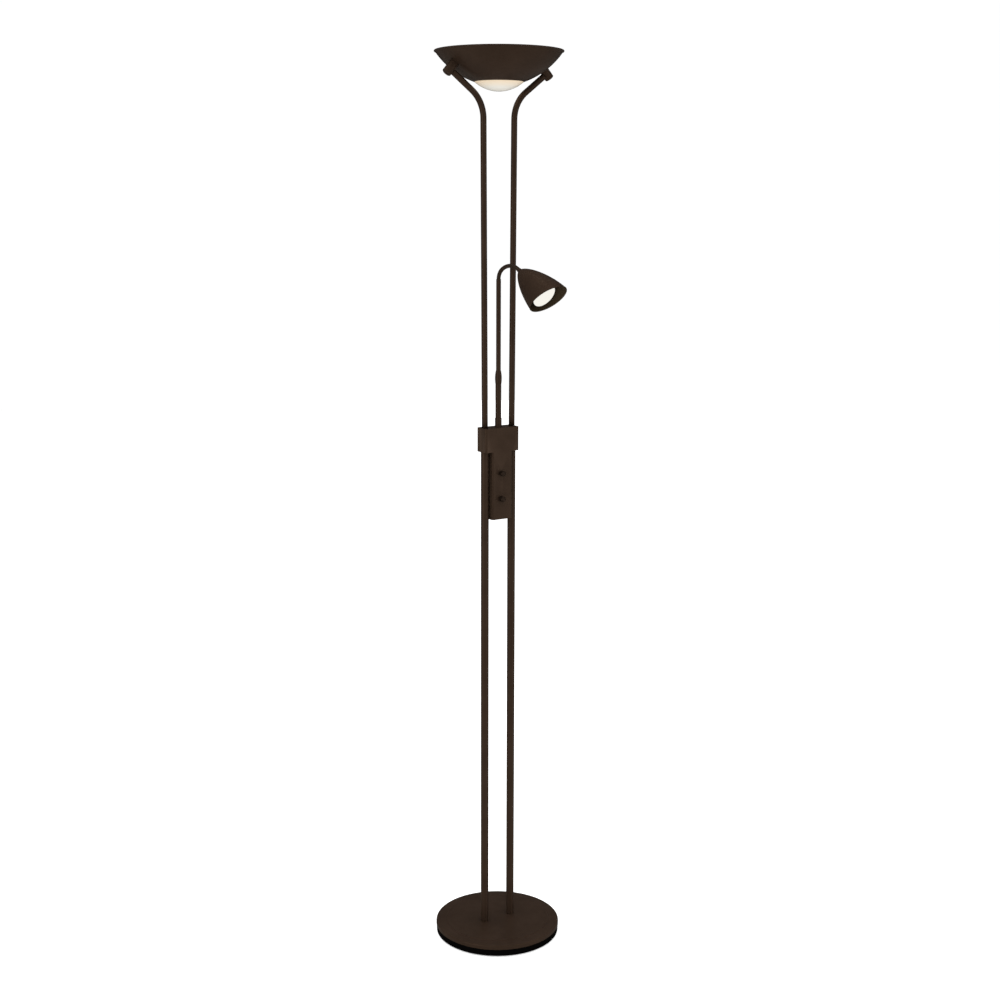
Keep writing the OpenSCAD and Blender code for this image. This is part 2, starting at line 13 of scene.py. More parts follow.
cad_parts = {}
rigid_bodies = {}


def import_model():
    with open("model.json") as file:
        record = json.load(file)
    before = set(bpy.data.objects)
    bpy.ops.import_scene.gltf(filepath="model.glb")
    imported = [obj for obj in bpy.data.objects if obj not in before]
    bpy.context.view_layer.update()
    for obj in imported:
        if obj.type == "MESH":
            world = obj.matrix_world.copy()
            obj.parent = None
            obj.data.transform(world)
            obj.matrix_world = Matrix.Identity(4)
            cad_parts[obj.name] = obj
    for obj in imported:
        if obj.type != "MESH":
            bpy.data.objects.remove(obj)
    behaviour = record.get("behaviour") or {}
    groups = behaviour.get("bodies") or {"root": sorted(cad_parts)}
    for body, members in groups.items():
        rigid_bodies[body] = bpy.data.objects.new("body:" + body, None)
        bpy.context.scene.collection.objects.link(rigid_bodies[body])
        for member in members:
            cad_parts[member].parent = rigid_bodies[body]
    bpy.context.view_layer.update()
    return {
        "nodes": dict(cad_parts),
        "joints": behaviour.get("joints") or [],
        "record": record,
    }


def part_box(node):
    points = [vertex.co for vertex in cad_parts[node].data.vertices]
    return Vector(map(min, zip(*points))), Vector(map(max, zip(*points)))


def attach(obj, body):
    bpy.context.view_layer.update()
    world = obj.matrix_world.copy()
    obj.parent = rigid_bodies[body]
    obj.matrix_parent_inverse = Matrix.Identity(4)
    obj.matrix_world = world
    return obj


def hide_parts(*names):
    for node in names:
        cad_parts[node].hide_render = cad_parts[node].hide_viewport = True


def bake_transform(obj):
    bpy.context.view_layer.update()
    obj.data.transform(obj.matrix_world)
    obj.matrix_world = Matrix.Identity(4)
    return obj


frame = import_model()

MM = 0.001
MICRON = 0.000001
UP = Vector((0, 0, 1))


def add(name, data):
    """A new object in the scene."""
    thing = bpy.data.objects.new(name, data)
    bpy.context.scene.collection.objects.link(thing)
    return thing


def add_mesh(name, verts, faces):
    mesh = bpy.data.meshes.new(name)
    mesh.from_pydata([tuple(v) for v in verts], [], faces)
    return add(name, mesh)


# ------ camera

CAMERA_SIDE = -33.1  # degrees round the lamp from straight in front, negative to the left
CAMERA_DISTANCE = 3.0352  # from the lamp's upright axis
CAMERA_HEIGHT = 1.5114
CAMERA_AIM = -0.0709  # degrees by which the view turns off the lamp's axis
CAMERA_PITCH = 10.8904  # degrees down
CAMERA_ROLL = 0.1365  # degrees
CAMERA_LENS = 55.277  # millimetres, on a sensor of 36
SENSOR_WIDTH = 36


def make_camera():
    side = math.radians(CAMERA_SIDE)
    aim = math.radians(CAMERA_SIDE + CAMERA_AIM)
    pitch = math.radians(CAMERA_PITCH)
    roll = math.radians(CAMERA_ROLL)
    place = Vector((math.sin(side) * CAMERA_DISTANCE, -math.cos(side) * CAMERA_DISTANCE, CAMERA_HEIGHT))
    level_ahead = Vector((-math.sin(aim), math.cos(aim), 0))
    ahead = level_ahead * math.cos(pitch) - UP * math.sin(pitch)
    level_right = ahead.cross(UP).normalized()
    level_up = level_right.cross(ahead)
    right = level_right * math.cos(roll) + level_up * math.sin(roll)
    up = level_up * math.cos(roll) - level_right * math.sin(roll)
    data = bpy.data.cameras.new("camera")
    data.lens = CAMERA_LENS
    data.sensor_width = SENSOR_WIDTH
    camera = add("camera", data)
    camera.matrix_world = Matrix.Translation(place) @ Matrix((right, up, -ahead)).transposed().to_4x4()
    bpy.context.scene.camera = camera


# ------ floor and light

ROOM_LIGHT = 1.02
ROOM_MIRRORED = 0.05  # how bright the room is in the lamp's mirror images
FLOOR_RADIUS = 9.0
FLOOR_SIDES = 48
FLOOR_GLOW = 0.45


def area_light(name, place, target, size, power):
    data = bpy.data.lights.new(name, "AREA")
    data.shape = "RECTANGLE"
    data.size, data.size_y = size
    data.energy = power
    light = add(name, data)
    light.location = place
    light.rotation_euler = (Vector(target) - Vector(place)).to_track_quat("-Z", "Y").to_euler()
    return light


def make_lights():
    area_light("strip_left", place=(-3.0, -0.9, 1.4), target=(0, 0, 1.0), size=(0.7, 2.6), power=11)
    area_light("strip_right", place=(1.6, -2.8, 1.4), target=(0, 0, 1.0), size=(0.9, 2.6), power=5)
    ceiling = area_light("ceiling", place=(0, 0, 3.6), target=(0, 0, 0), size=(3.0, 3.0), power=62)
    ceiling.visible_glossy = False


def make_world():
    """A white room that lights everything evenly, but mirrors as a dim one, so that outlines stay dark."""
    world = bpy.data.worlds.new("studio")
    bpy.context.scene.world = world
    world.use_nodes = True
    nodes, links = world.node_tree.nodes, world.node_tree.links
    nodes.clear()
    room = nodes.new("ShaderNodeBackground")
    room.inputs["Color"].default_value = (1, 1, 1, 1)
    room.inputs["Strength"].default_value = ROOM_LIGHT
    mirrored = nodes.new("ShaderNodeBackground")
    mirrored.inputs["Color"].default_value = (1, 0.97, 0.94, 1)
    mirrored.inputs["Strength"].default_value = ROOM_MIRRORED
    path = nodes.new("ShaderNodeLightPath")
    mix = nodes.new("ShaderNodeMixShader")
    out = nodes.new("ShaderNodeOutputWorld")
    links.new(path.outputs["Is Glossy Ray"], mix.inputs["Fac"])
    links.new(room.outputs[0], mix.inputs[1])
    links.new(mirrored.outputs[0], mix.inputs[2])
    links.new(mix.outputs[0], out.inputs["Surface"])
    bpy.context.scene.view_settings.view_transform = "Standard"


def floor_material():
    """Pale and matt. It glows a little where it is seen directly, so that it runs into the white room, and
    is dim in the lamp's mirror images, so that these stay as dark as the lamp's outlines."""
    shader = Shader("floor_pale", (0.86, 0.86, 0.86), 1.0, Specular_IOR_Level=0.0)
    pale = shader.mix(shader.noise(1.5), (0.87, 0.87, 0.87), (0.85, 0.85, 0.85))
    path = shader.nodes.new("ShaderNodeLightPath")
    mirrored, bounced = path.outputs["Is Glossy Ray"], path.outputs["Is Diffuse Ray"]
    shader.colour_from(shader.mix(mirrored, pale, (0.12, 0.11, 0.1)))
    seen = shader.mix(mirrored, (1, 1, 1), (0, 0, 0))
    shader.glow(shader.mix(bounced, seen, (0, 0, 0)), FLOOR_GLOW)
    return shader.material


def make_floor():
    angles = [2 * math.pi * i / FLOOR_SIDES for i in range(FLOOR_SIDES)]
    rim = [(FLOOR_RADIUS * math.cos(a), FLOOR_RADIUS * math.sin(a), 0) for a in angles]
    faces = [(0, 1 + i, 1 + (i + 1) % FLOOR_SIDES) for i in range(FLOOR_SIDES)]
    floor = add_mesh("floor", [(0, 0, 0)] + rim, faces)
    floor.data.materials.append(floor_material())


# ------ materials

NOISE_RANGE = (0.3, 0.7)  # most values of a noise texture lie in it


class Shader:
    """A Principled material with helpers for its node tree. Its textures are laid out in metres."""

    def __init__(self, name, colour, roughness, metallic=0.0, **sockets):
        self.material = bpy.data.materials.new(name)
        self.material.use_nodes = True
        self.nodes = self.material.node_tree.nodes
        self.links = self.material.node_tree.links
        self.bsdf = self.nodes["Principled BSDF"]
        self.bsdf.inputs["Base Color"].default_value = (*colour, 1)
        self.bsdf.inputs["Roughness"].default_value = roughness
        self.bsdf.inputs["Metallic"].default_value = metallic
        for socket, value in sockets.items():
            self.bsdf.inputs[socket.replace("_", " ")].default_value = value
        self.place = self.nodes.new("ShaderNodeTexCoord").outputs["Object"]

    def noise(self, scale, detail=2.0, stretch=(1, 1, 1)):
        """Noise of that many features a metre, as a value from 0 to 1."""
        mapping = self.nodes.new("ShaderNodeMapping")
        mapping.inputs["Scale"].default_value = stretch
        self.links.new(self.place, mapping.inputs["Vector"])
        texture = self.nodes.new("ShaderNodeTexNoise")
        texture.inputs["Scale"].default_value = scale
        texture.inputs["Detail"].default_value = detail
        self.links.new(mapping.outputs["Vector"], texture.inputs["Vector"])
        return texture.outputs["Fac"]

    def ramp(self, value, low, high, low_to, high_to):
        """Carries the range from low to high over to the one from low_to to high_to."""
        node = self.nodes.new("ShaderNodeMapRange")
        node.inputs["From Min"].default_value = low
        node.inputs["From Max"].default_value = high
        node.inputs["To Min"].default_value = low_to
        node.inputs["To Max"].default_value = high_to
        self.links.new(value, node.inputs["Value"])
        return node.outputs["Result"]

    def mix(self, factor, first, second):
        """first and second are colours, or sockets that give one."""
        node = self.nodes.new("ShaderNodeMix")
        node.data_type = "RGBA"
        self.links.new(factor, node.inputs["Factor"])
        for socket, value in ((node.inputs["A"], first), (node.inputs["B"], second)):
            if isinstance(value, bpy.types.NodeSocket):
                self.links.new(value, socket)
            else:
                socket.default_value = (*value, 1)
        return node.outputs["Result"]

    def edges(self, low, high, share):
        """From 0 where Pointiness is low, on flat faces, to share where it is high, on convex edges."""
        geometry = self.nodes.new("ShaderNodeNewGeometry")
        return self.ramp(geometry.outputs["Pointiness"], low, high, 0, share)

    def vector(self, operation, first, second, output="Vector"):
        """A vector operation on a socket and a socket or a constant."""
        node = self.nodes.new("ShaderNodeVectorMath")
        node.operation = operation
        self.links.new(first, node.inputs[0])
        if isinstance(second, bpy.types.NodeSocket):
            self.links.new(second, node.inputs[1])
        else:
            node.inputs[1].default_value = second
        return node.outputs[output]

    def faces_axis(self, origin, axis, soft=0.002):
        """1 where the surface faces the line through origin along axis, and 0 where it faces away."""
        normal = self.nodes.new("ShaderNodeTexCoord").outputs["Normal"]
        offset = self.vector("SUBTRACT", self.place, origin)
        inwards = self.vector("CROSS_PRODUCT", self.vector("CROSS_PRODUCT", offset, axis), axis)
        return self.ramp(self.vector("DOT_PRODUCT", normal, inwards, "Value"), 0.0, soft, 0, 1)

    def distance_from_axis(self):
        """Distance of a point from the lamp's upright axis."""
        return self.vector("LENGTH", self.vector("MULTIPLY", self.place, (1, 1, 0)), (0, 0, 0), "Value")

    def colour_from(self, socket):
        self.links.new(socket, self.bsdf.inputs["Base Color"])

    def roughness_from(self, value, low, high):
        self.links.new(self.ramp(value, *NOISE_RANGE, low, high), self.bsdf.inputs["Roughness"])

    def bump_from(self, value, depth):
        """depth is the height of the relief in metres."""
        bump = self.nodes.new("ShaderNodeBump")
        bump.inputs["Strength"].default_value = 1.0
        bump.inputs["Distance"].default_value = depth
        self.links.new(value, bump.inputs["Height"])
        self.links.new(bump.outputs["Normal"], self.bsdf.inputs["Normal"])

    def glow(self, colour, strength):
        """Light that the surface gives off. colour is a socket."""
        self.bsdf.inputs["Emission Strength"].default_value = strength
        self.links.new(colour, self.bsdf.inputs["Emission Color"])


BRONZE = (0.026, 0.0158, 0.0105)
BRONZE_SHEEN = (1.0, 0.66, 0.46, 1)
BRONZE_ROUGHNESS = 0.36
KNOB_ROUGHNESS = 0.3


def bronze_shader(name, roughness):
    """What all the bronze coats share: a weak, warm sheen."""
    return Shader(name, BRONZE, roughness, Specular_IOR_Level=0.4, Specular_Tint=BRONZE_SHEEN)


def bronze_clouds(shader):
    """Colour of dark bronze paint, in faint clouds."""
    clouds = shader.ramp(shader.noise(22, detail=4), 0.35, 0.65, 0, 1)
    return shader.mix(clouds, (0.0245, 0.0146, 0.0094), (0.0295, 0.0178, 0.0117))


def orange_peel(shader):
    shader.bump_from(shader.noise(1400), 12 * MICRON)


def bronze_material():
    """Satin dark bronze paint, with specks in it and thin paint on edges."""
    shader = bronze_shader("bronze_satin", BRONZE_ROUGHNESS)
    specks = shader.ramp(shader.noise(900, detail=1), 0.66, 0.74, 0, 0.3)
    paint = shader.mix(specks, bronze_clouds(shader), (0.05, 0.033, 0.023))
    thin = shader.edges(low=0.53, high=0.62, share=0.35)
    shader.colour_from(shader.mix(thin, paint, (0.08, 0.053, 0.036)))
    shader.roughness_from(shader.noise(60, detail=3), BRONZE_ROUGHNESS - 0.04, BRONZE_ROUGHNESS + 0.05)
    orange_peel(shader)
    return shader.material


def knob_material():
    """A darker and glossier coat than the housing's."""
    shader = bronze_shader("bronze_knob", KNOB_ROUGHNESS)
    coat = shader.mix(shader.noise(180, detail=3), (0.0085, 0.0055, 0.004), (0.0125, 0.0082, 0.006))
    thin = shader.edges(low=0.53, high=0.62, share=0.5)
    shader.colour_from(shader.mix(thin, coat, (0.045, 0.031, 0.022)))
    shader.roughness_from(shader.noise(60, detail=3), KNOB_ROUGHNESS - 0.04, KNOB_ROUGHNESS + 0.04)
    orange_peel(shader)
    return shader.material


def shade_material():
    """The same paint outside, and a flatter coat on the inside of the spot's shade, painted lighter and more
    olive to stand for the spot lamp's light on the inner wall.
    """
    shader = bronze_shader("shade_satin_painted_lamplight", BRONZE_ROUGHNESS)
    # painted light: the inside is lighter and more olive than the outer paint, standing in for the lamp's
    # light falling on the shade's inner wall
    inside = shader.mix(shader.noise(60, detail=3), (0.034, 0.024, 0.0125), (0.042, 0.03, 0.016))
    within = shader.faces_axis(NECK, SPOT_AIM)
    shader.colour_from(shader.mix(within, bronze_clouds(shader), inside))
    shader.links.new(shader.ramp(within, 0, 1, BRONZE_ROUGHNESS, 0.75), shader.bsdf.inputs["Roughness"])
    orange_peel(shader)
    return shader.material


def hose_material():
    shader = bronze_shader("hose_bronze", 0.33)
    ridges = shader.edges(low=0.5, high=0.6, share=0.6)
    shader.colour_from(shader.mix(ridges, (0.02, 0.0135, 0.0095), (0.05, 0.035, 0.025)))
    shader.roughness_from(shader.noise(400), 0.28, 0.4)
    shader.bump_from(shader.noise(2500, detail=1), 8 * MICRON)
    return shader.material


def plastic_material(name, colour, roughness, gloss):
    shader = Shader(name, colour, roughness, Specular_IOR_Level=gloss)
    lighter = tuple(min(1, c * 1.25 + 0.004) for c in colour)
    shader.colour_from(shader.mix(shader.edges(low=0.52, high=0.62, share=0.5), colour, lighter))
    shader.roughness_from(shader.noise(150, detail=3), roughness - 0.06, roughness + 0.06)
    shader.bump_from(shader.noise(3000), 20 * MICRON)
    return shader.material


def cast_material():
    """Rough grey cast iron."""
    shader = Shader("cast_grey", (0.07, 0.07, 0.075), 0.7, metallic=0.6)
    shader.colour_from(shader.mix(shader.noise(120, detail=4), (0.05, 0.05, 0.055), (0.1, 0.095, 0.09)))
    shader.roughness_from(shader.noise(500, detail=3), 0.6, 0.85)
    shader.bump_from(shader.noise(700, detail=5), 300 * MICRON)
    return shader.material


def felt_material():
    shader = Shader("felt_black", (0.02, 0.02, 0.02), 0.95, Sheen_Weight=0.5, Sheen_Roughness=0.5)
    fibres = shader.noise(2500, detail=4)
    shader.colour_from(shader.mix(fibres, (0.012, 0.012, 0.012), (0.045, 0.043, 0.04)))
    shader.bump_from(shader.noise(4000, detail=5), 250 * MICRON)
    return shader.material


def zinc_material():
    """Zinc-plated steel, with cloudy passivation and a faint grain along Y."""
    shader = Shader("zinc_plated", (0.55, 0.55, 0.56), 0.35, metallic=1.0)
    shader.colour_from(shader.mix(shader.noise(180, detail=4), (0.48, 0.48, 0.5), (0.62, 0.61, 0.58)))
    shader.roughness_from(shader.noise(900, stretch=(1, 0.05, 1)), 0.28, 0.45)
    shader.bump_from(shader.noise(2200, stretch=(1, 0.04, 1)), 10 * MICRON)
    return shader.material


def brass_material():
    """Brass with fine turning marks about Z."""
    shader = Shader("turned_brass", (0.72, 0.53, 0.26), 0.3, metallic=1.0)
    shader.colour_from(shader.mix(shader.noise(300, detail=3), (0.66, 0.47, 0.22), (0.78, 0.6, 0.31)))
    shader.bump_from(shader.noise(3000, detail=1, stretch=(0.05, 0.05, 1)), 10 * MICRON)
    return shader.material


def ceramic_material():
    shader = Shader("steatite", (0.8, 0.78, 0.72), 0.35, Coat_Weight=0.3, Coat_Roughness=0.15)
    shader.colour_from(shader.mix(shader.noise(400, detail=4), (0.76, 0.74, 0.67), (0.84, 0.82, 0.77)))
    shader.roughness_from(shader.noise(200), 0.3, 0.45)
    shader.bump_from(shader.noise(900, detail=4), 40 * MICRON)
    return shader.material


def dish_material():
    """Frosted glass lit from behind: white in the middle, and warmer from the radius warm_from outwards."""
    shader = Shader("dish_frosted", (0.4, 0.38, 0.33), 0.45, Coat_Weight=1.0, Coat_Roughness=0.12)
    warm_from, warm_at = 0.03, 0.05
    warm = shader.ramp(shader.distance_from_axis(), warm_from, warm_at, 0, 1)
    cloudy = shader.mix(shader.noise(70, detail=3), (0.9, 0.87, 0.79), (0.96, 0.93, 0.86))
    shader.glow(shader.mix(warm, cloudy, (1.0, 0.66, 0.32)), 0.52)
    shader.roughness_from(shader.noise(300), 0.4, 0.55)
    shader.bump_from(shader.noise(2200, detail=3), 30 * MICRON)
    return shader.material


def lens_material():
    """The lit front of the spot's lamp."""
    shader = Shader("lamp_lens", (0.12, 0.115, 0.1), 0.3)
    shader.glow(shader.mix(shader.noise(500), (1.0, 0.97, 0.88), (1.0, 0.985, 0.93)), 0.81)
    shader.bump_from(shader.noise(1500, detail=1), 50 * MICRON)
    return shader.material


def reflector_material():
    """The mirrored back of the spot's lamp."""
    shader = Shader("lamp_mirror", (0.7, 0.69, 0.66), 0.15, metallic=1.0)
    shader.roughness_from(shader.noise(500), 0.12, 0.25)
    shader.bump_from(shader.noise(900, detail=1), 30 * MICRON)
    return shader.material


def quartz_material():
    """The lit tube of the lamp in the bowl."""
    shader = Shader("quartz_lit", (0.95, 0.95, 0.95), 0.1, Coat_Weight=0.5)
    shader.glow(shader.mix(shader.noise(260), (1.0, 0.86, 0.62), (1.0, 0.93, 0.78)), 5.0)
    shader.bump_from(shader.noise(400), 30 * MICRON)
    return shader.material


def make_materials():
    """A material for each slot, and two for pieces that look different from the rest of their slot."""
    return {
        "bronze_paint": bronze_material(),
        "bronze_knob": knob_material(),
        "black_plastic": plastic_material("black_matt", (0.0014, 0.001, 0.0009), roughness=0.75, gloss=0.06),
        "white_plastic": plastic_material("white_matt", (0.72, 0.71, 0.67), roughness=0.5, gloss=0.5),
        "cast_weight": cast_material(),
        "felt": felt_material(),
        "zinc_steel": zinc_material(),
        "hose_steel": hose_material(),
        "brass": brass_material(),
        "ceramic": ceramic_material(),
        "frosted_glass": dish_material(),
        "lamp_glass": lens_material(),
        "quartz_glass": quartz_material(),
        "lamp_body": reflector_material(),
        "shade": shade_material(),
    }


# ------ shapes

ON_AXIS = 0.000001  # millimetres; a point of an outline that is nearer to the axis lies on it
FACE_DOWN = Matrix.Rotation(math.pi, 4, "X")


def piece(name, verts, faces, slot, body, stands_for=(), material=None, weighted=True):
    """A smooth-shaded piece that rides on a body and stands for CAD nodes. It has its slot's
    material, unless another one is named."""
    thing = add_mesh(name, verts, faces)
    thing.data.validate()
    thing.data.shade_smooth()
    thing.data.materials.append(MATERIALS[material or slot])
    if weighted:
        thing.modifiers.new("even_normals", "WEIGHTED_NORMAL").keep_sharp = True
    if body:
        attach(thing, body)
    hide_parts(*stands_for)
    return thing


def arc(centre, radius, start, end, steps):
    """Points on a circle, from angle start to angle end in degrees."""
    angles = [math.radians(start + (end - start) * i / steps) for i in range(steps + 1)]
    return [(centre[0] + radius * math.cos(a), centre[1] + radius * math.sin(a)) for a in angles]


def sphere_arc(radius, start, end, steps):
    """Points on a sphere's section about its centre, at angles in degrees from straight down."""
    return arc((0, 0), radius, start - 90, end - 90, steps)


def rounded(corners, steps=4, closed=True):
    """An outline of corners (x, y, radius). Each corner is rounded to its radius, or to what there is
    room for between its neighbours."""
    room = 0.48
    outline = []
    count = len(corners)
    for i, (x, y, radius) in enumerate(corners):
        here = Vector((x, y))
        if radius <= 0 or (not closed and i in (0, count - 1)):
            outline.append((x, y))
            continue
        back = Vector(corners[i - 1][:2]) - here
        ahead = Vector(corners[(i + 1) % count][:2]) - here
        half = back.angle(ahead) / 2
        reach = min(radius / math.tan(half), back.length * room, ahead.length * room)
        back.normalize()
        ahead.normalize()
        centre = here + (back + ahead).normalized() * (reach / math.cos(half))
        first = here + back * reach - centre
        last = here + ahead * reach - centre
        turn = first.angle_signed(last)
        for k in range(steps + 1):
            spoke = first.copy()
            spoke.rotate(Matrix.Rotation(-turn * k / steps, 2))
            outline.append(tuple(centre + spoke))
    return outline


def sleeve(bore, radius, low, high, low_edge, high_edge, bore_edge=0.1, steps=4):
    """Outline of a tube from height low to height high, with rounded edges."""
    return rounded([
        (bore, low, bore_edge), (radius, low, low_edge), (radius, high, high_edge), (bore, high, bore_edge)
    ], steps)


def revolve(outline, segments=96, place=None):
    """Vertices and faces of an outline of (radius, height) in millimetres, turned about Z. An outline that
    starts and ends on the axis makes a solid, and any other one is closed to a ring."""
    solid = outline[0][0] < ON_AXIS and outline[-1][0] < ON_AXIS
    place = place or Matrix.Identity(4)
    verts, rows = [], []
    for radius, height in outline:
        if radius < ON_AXIS:
            rows.append([len(verts)] * segments)
            verts.append(place @ Vector((0, 0, height * MM)))
            continue
        rows.append(list(range(len(verts), len(verts) + segments)))
        for i in range(segments):
            a = 2 * math.pi * i / segments
            verts.append(place @ Vector((radius * MM * math.cos(a), radius * MM * math.sin(a), height * MM)))
    pairs = list(zip(rows, rows[1:])) + ([] if solid else [(rows[-1], rows[0])])
    faces = []
    for low, high in pairs:
        for i in range(segments):
            k = (i + 1) % segments
            face = [low[i], low[k], high[k], high[i]]
            face = [v for n, v in enumerate(face) if v != face[n - 1]]
            if len(face) > 2:
                faces.append(face)
    return verts, faces


def lathe(name, outline, slot, body, stands_for, segments=96, place=None, **more):
    """A turned piece."""
    verts, faces = revolve(outline, segments, place)
    return piece(name, verts, faces, slot, body, stands_for, **more)


def tube_along(centres, radius, segments):
    """Vertices and faces of a closed tube along a line of points."""
    verts, faces = [], []
    count = len(centres)
    side = None
    for i, centre in enumerate(centres):
        ahead = (centres[min(i + 1, count - 1)] - centres[max(i - 1, 0)]).normalized()
        if side is None:
            side = ahead.orthogonal().normalized()
        side = (side - ahead * side.dot(ahead)).normalized()
        other = ahead.cross(side)
        for k in range(segments):
            a = 2 * math.pi * k / segments
            verts.append(centre + (side * math.cos(a) + other * math.sin(a)) * radius)
    for i in range(count - 1):
        low, high = i * segments, (i + 1) * segments
        for k in range(segments):
            n = (k + 1) % segments
            faces.append([low + k, low + n, high + n, high + k])
    faces.append(list(reversed(range(segments))))
    faces.append([(count - 1) * segments + k for k in range(segments)])
    return verts, faces


def join(parts):
    """Several (vertices, faces) as one."""
    verts, faces = [], []
    for more_verts, more_faces in parts:
        offset = len(verts)
        verts += more_verts
        faces += [[v + offset for v in f] for f in more_faces]
    return verts, faces


def frame_at(origin, z_axis, x_axis):
    """The placing that carries +Z to z_axis and +X to x_axis."""
    z = Vector(z_axis).normalized()
    x = (Vector(x_axis) - z * Vector(x_axis).dot(z)).normalized()
    y = z.cross(x)
    return Matrix.Translation(Vector(origin)) @ Matrix((x, y, z)).transposed().to_4x4()


def turned(degrees):
    """A turn about the lamp's upright axis."""
    return Matrix.Rotation(math.radians(degrees), 4, "Z")


def box_of(node):
    low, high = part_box(node)
    return low, high, (low + high) / 2


def radius_of(node, axis=1):
    """Half of a node's width along Y, or along X for axis 0, in millimetres."""
    low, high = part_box(node)
    return (high[axis] - low[axis]) / 2 / MM


def heights_of(node):
    """Heights of a node's lowest and highest point, in millimetres."""
    low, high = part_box(node)
    return low.z / MM, high.z / MM


def screw_heads(name, node, places, radius, height, segments):
    """Pan heads, each with a round recess in its top. A place has its +Z out of the head's top."""
    recess = radius * 0.42
    outline = rounded([
        (0, height * 0.35, 0), (recess * 0.6, height * 0.4, 0), (recess, height, 0.15),
        (radius * 0.75, height, 0.4), (radius, height * 0.45, 0.4), (radius, 0, 0.1), (0, 0, 0)
    ], 3, closed=False)
    heads = [revolve(outline, segments, place) for place in places]
    piece(name, *join(heads), "zinc_steel", "stand", [node])


# ------ the foot

COVER_WALL = 1.2
FIELD_R = 107  # the raised field on top of the cover
FIELD_STEP = 0.8
STEP_RUN = 0.6  # how far the step's slope reaches outwards
EDGE_FALL = 1.2  # from below the step to the cover's edge
EDGE_ROUND = 3
TRAY_WALL = 2
TRAY_TAPER = 0.5
PAD_COUNT = 6
PAD_RING_R = 100
PAD_TURN = 15  # degrees
PAD_R = 9
MIDDLE_PAD_R = 15
TRAY_SCREW_RING_R = 70


def make_foot_cover():
    radius = radius_of("base_cover")
    lip, top = heights_of("base_cover")
    step_r, step_foot = FIELD_R + STEP_RUN, top - FIELD_STEP
    shoulder = step_foot - EDGE_FALL
    inside = radius - COVER_WALL
    outline = rounded([
        (0, top, 0), (FIELD_R, top, 0.4), (step_r, step_foot, 0.3), (radius, shoulder, EDGE_ROUND),
        (radius, lip, 0.4), (inside, lip, 0.4), (inside, shoulder - COVER_WALL, EDGE_ROUND - COVER_WALL),
        (step_r, step_foot - COVER_WALL, 0), (FIELD_R, top - COVER_WALL, 0), (0, top - COVER_WALL, 0)
    ], 6, closed=False)
    lathe("foot_cover", outline, "bronze_paint", "stand", ["base_cover"], segments=160)


def make_foot_tray():
    """The tray, and the heads of the screws that hold it."""
    rim = radius_of("base_tray")
    foot = rim - TRAY_TAPER
    floor, edge = heights_of("base_tray")
    outline = rounded([
        (0, floor, 0), (foot, floor, 1.2), (rim, edge, 0.5), (rim - TRAY_WALL, edge, 0.5),
        (foot - TRAY_WALL - 0.1, floor + TRAY_WALL, 1), (0, floor + TRAY_WALL, 0)
    ], closed=False)
    lathe("foot_tray", outline, "black_plastic", "stand", ["base_tray"], segments=128)
    screw_height = 1.6
    head_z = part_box("tray_screws")[0].z + screw_height * MM
    head = Matrix.Translation((TRAY_SCREW_RING_R * MM, 0, head_z)) @ FACE_DOWN
    places = [turned(turn) @ head for turn in (30, 150, 270)]
    screw_heads("tray_screw_heads", "tray_screws", places, radius=3, height=screw_height, segments=32)


def felt_pad(radius, thickness):
    """Outline of a pad that is slightly worn towards its edge."""
    wear = 0.15
    corners = [(0, thickness, 0), (radius, thickness, 0.2), (radius, wear, 0.6), (0, 0, 0)]
    return rounded(corners, 3, closed=False)


def make_felt_pads():
    thickness = heights_of("base_pads")[1]
    pads = [revolve(felt_pad(MIDDLE_PAD_R, thickness), 48)]
    for i in range(PAD_COUNT):
        place = turned(PAD_TURN + 360 * i / PAD_COUNT) @ Matrix.Translation((PAD_RING_R * MM, 0, 0))
        pads.append(revolve(felt_pad(PAD_R, thickness), 40, place))
    piece("felt_pads", *join(pads), "felt", "stand", ["base_pads"])


def make_lead_bushing():
    """The inlet's bushing: a stem through the cover's wall, with a flange outside it."""
    bore, stem, flange, nose = 3.2, 3.95, 6, 4.8
    inner_end, wall_face, flange_end, outer_end = -9, 0.1, 1.6, 2.4
    outline = rounded([
        (bore, inner_end, 0.2), (stem, inner_end, 0.2), (stem, wall_face, 0), (flange, wall_face, 0.3),
        (flange, flange_end, 0.3), (nose, outer_end, 0.4), (bore, outer_end, 0.3)
    ])
    _, high, middle = box_of("cord_gland")
    place = frame_at((middle.x, high.y - outer_end * MM, middle.z), (0, 1, 0), (1, 0, 0))
    lathe("lead_bushing", outline, "black_plastic", "stand", ["cord_gland"], segments=48, place=place)


# ------ poles, collars, bowl and dish

TUBE_WALL = 1.2
POLE_LEAN = math.radians(0.34)
ARM_SLOPE = math.radians(37)
ARM_BEND_R = 65 * MM
BEND_SWELL = 0.1  # by which the CAD's bends are thicker than its straight lengths
ARM_END_R = 165 * MM  # from the sphere's centre to where the arm meets the collar's axis
ARM_SHORT = 3 * MM  # by which the arm stops short of that point
ARM_SUNK = 4 * MM  # by which the pole starts below the housing's top
COLLAR_ANGLE = math.radians(42)  # from straight down
COLLAR_R = 9
COLLAR_START = 149.55  # from the sphere's centre, just within the bowl's wall
COLLAR_END = 175.65
BOWL_R = 150 * MM
BOWL_WALL = 1.2
BOWL_BEAD = 1.5
RIM_DROP = 84 * MM  # from the sphere's centre down to the rim's plane
HOLE_R = 48
DISH_R = 72
DISH_DROP = 160  # from the bowl's centre down to the dish's lowest point
DISH_GLASS = 3
DISH_FLANGE = 8
DISH_PLAY = 0.3  # between the flange and the bowl
BOWL_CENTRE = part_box("bowl")[1].z + RIM_DROP
AT_BOWL_CENTRE = Matrix.Translation((0, 0, BOWL_CENTRE))
HOUSING_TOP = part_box("control_front_cover")[1].z
SIDES = {"left": -1, "right": 1}


